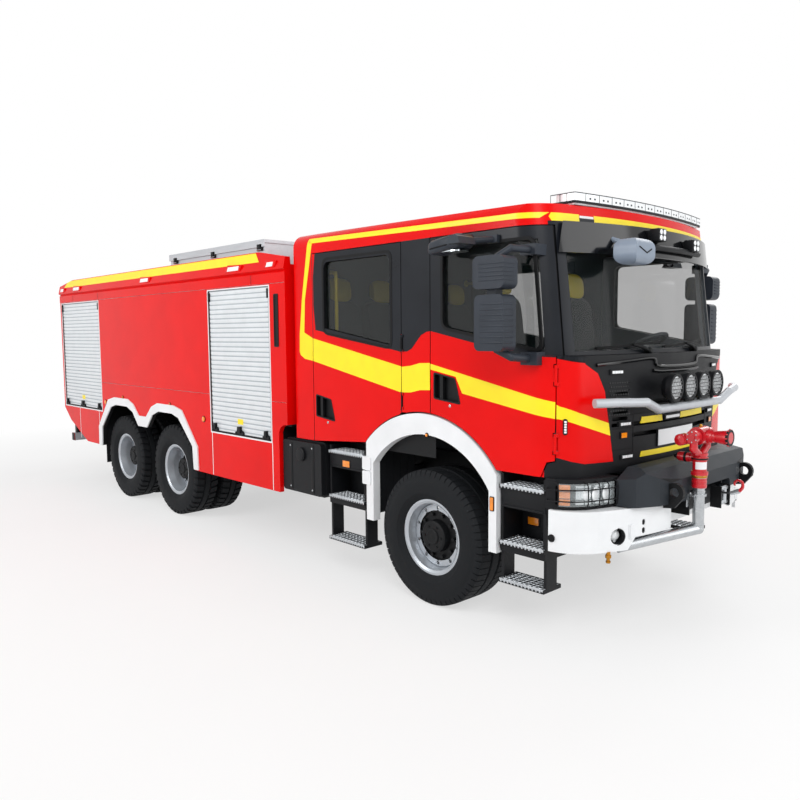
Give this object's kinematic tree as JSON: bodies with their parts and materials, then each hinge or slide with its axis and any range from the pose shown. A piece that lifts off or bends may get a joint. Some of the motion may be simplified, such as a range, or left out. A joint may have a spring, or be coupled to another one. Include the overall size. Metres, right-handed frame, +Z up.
{
  "type": "fire truck",
  "caption": "Fire truck with a forward crew cab, hinged doors, steered front axle, twin-tyred rear tandem, roller-shutter body and a bumper water monitor.",
  "frame": {"origin": "on the ground, in the middle of the length and width of the vehicle's bounding box", "axes": "+X forward along the vehicle, +Y to its left, +Z up"},
  "size_m": [9.42, 3.11, 3.07],
  "materials": {
    "paint_red": "gloss",
    "plastic_black": "satin",
    "plastic_white": "satin",
    "plastic_grey": "satin",
    "frame_black": "satin",
    "engine_grey": "matte",
    "alloy": "brushed",
    "shutter_alloy": "anodised",
    "stainless": "brushed",
    "rim_silver": "satin",
    "tyre": "matte",
    "glass": "clear",
    "lamp_clear": "gloss",
    "seat_fabric": "matte",
    "hose_rubber": "matte"
  },
  "bodies": {
    "chassis": {"chassis_frame": "frame_black", "front_axle": "frame_black", "rear_axles": "frame_black", "rear_guard": "frame_black", "engine": "engine_grey", "cab_shell": "paint_red", "body_sides": "paint_red", "body_ends": "paint_red", "body_roof": "paint_red", "front_mirror": "plastic_black", "grille": "plastic_black", "sun_visor": "plastic_black", "dashboard": "plastic_black", "spot_lamps": "plastic_black", "headlamps": "plastic_black", "cab_steps": "plastic_black", "side_tanks": "plastic_black", "body_floor": "plastic_black", "winch_cover": "plastic_grey", "front_bumper": "plastic_white", "front_fenders": "plastic_white", "arch_trim": "plastic_white", "light_bar": "lamp_clear", "seats": "seat_fabric", "suction_hoses": "hose_rubber", "bull_bar": "stainless", "monitor_riser": "stainless", "rear_ladder": "stainless", "shutters": "shutter_alloy", "roof_box": "alloy", "windscreen": "glass"},
    "knuckle_right": {"knuckle_right": "frame_black"},
    "knuckle_left": {"knuckle_left": "frame_black"},
    "roof_box_lid": {"roof_box_lid": "alloy"},
    "monitor_swivel": {"monitor_swivel": "paint_red"},
    "monitor_barrel": {"monitor_barrel": "paint_red"},
    "front_wheel_right": {"front_rim_right": "rim_silver", "front_tyre_right": "tyre"},
    "lead_wheels_right": {"lead_rims_right": "rim_silver", "lead_tyres_right": "tyre"},
    "trail_wheels_right": {"trail_rims_right": "rim_silver", "trail_tyres_right": "tyre"},
    "front_door_right": {"door_front_right": "paint_red", "glass_front_right": "glass", "mirrors_right": "plastic_black"},
    "rear_door_right": {"door_rear_right": "paint_red", "glass_rear_right": "glass"},
    "front_wheel_left": {"front_rim_left": "rim_silver", "front_tyre_left": "tyre"},
    "lead_wheels_left": {"lead_rims_left": "rim_silver", "lead_tyres_left": "tyre"},
    "trail_wheels_left": {"trail_rims_left": "rim_silver", "trail_tyres_left": "tyre"},
    "front_door_left": {"door_front_left": "paint_red", "glass_front_left": "glass", "mirrors_left": "plastic_black"},
    "rear_door_left": {"door_rear_left": "paint_red", "glass_rear_left": "glass"}
  },
  "joints": [
    {"name": "steer_right", "type": "hinge", "parent": "chassis", "child": "knuckle_right", "pos_m": [2.8, -0.88, 0.53], "axis": [0, 0, 1], "range_deg": [-36, 36]},
    {"name": "front_spin_right", "type": "hinge", "parent": "knuckle_right", "child": "front_wheel_right", "pos_m": [2.8, -1.02, 0.53], "axis": [0, 1, 0], "continuous": true},
    {"name": "lead_spin_right", "type": "hinge", "parent": "chassis", "child": "lead_wheels_right", "pos_m": [-1.35, -0.9, 0.53], "axis": [0, 1, 0], "continuous": true},
    {"name": "trail_spin_right", "type": "hinge", "parent": "chassis", "child": "trail_wheels_right", "pos_m": [-2.7, -0.9, 0.53], "axis": [0, 1, 0], "continuous": true},
    {"name": "front_door_hinge_right", "type": "hinge", "parent": "chassis", "child": "front_door_right", "pos_m": [3.9355, -1.17252, 1.6], "axis": [0, 0, 1], "range_deg": [0, 75]},
    {"name": "rear_door_hinge_right", "type": "hinge", "parent": "chassis", "child": "rear_door_right", "pos_m": [2.5285, -1.217, 1.8], "axis": [0, 0, 1], "range_deg": [0, 75]},
    {"name": "steer_left", "type": "hinge", "parent": "chassis", "child": "knuckle_left", "pos_m": [2.8, 0.88, 0.53], "axis": [0, 0, 1], "range_deg": [-36, 36]},
    {"name": "front_spin_left", "type": "hinge", "parent": "knuckle_left", "child": "front_wheel_left", "pos_m": [2.8, 1.02, 0.53], "axis": [0, 1, 0], "continuous": true},
    {"name": "lead_spin_left", "type": "hinge", "parent": "chassis", "child": "lead_wheels_left", "pos_m": [-1.35, 0.9, 0.53], "axis": [0, 1, 0], "continuous": true},
    {"name": "trail_spin_left", "type": "hinge", "parent": "chassis", "child": "trail_wheels_left", "pos_m": [-2.7, 0.9, 0.53], "axis": [0, 1, 0], "continuous": true},
    {"name": "front_door_hinge_left", "type": "hinge", "parent": "chassis", "child": "front_door_left", "pos_m": [3.9355, 1.17252, 1.6], "axis": [0, 0, -1], "range_deg": [0, 75]},
    {"name": "rear_door_hinge_left", "type": "hinge", "parent": "chassis", "child": "rear_door_left", "pos_m": [2.5285, 1.217, 1.8], "axis": [0, 0, -1], "range_deg": [0, 75]},
    {"name": "monitor_yaw", "type": "hinge", "parent": "chassis", "child": "monitor_swivel", "pos_m": [4.505, -0.3, 1.16], "axis": [0, 0, 1], "range_deg": [-90, 90]},
    {"name": "monitor_pitch", "type": "hinge", "parent": "monitor_swivel", "child": "monitor_barrel", "pos_m": [4.505, -0.3, 1.4], "axis": [0, -1, 0], "range_deg": [-15, 70]},
    {"name": "box_lid_hinge", "type": "hinge", "parent": "chassis", "child": "roof_box_lid", "pos_m": [-0.845, -0.364, 3.041], "axis": [-1, 0, 0], "range_deg": [0, 95]}
  ],
  "couplings": [
    {"joint": "steer_left", "follows": "steer_right", "ratio": 1}
  ]
}
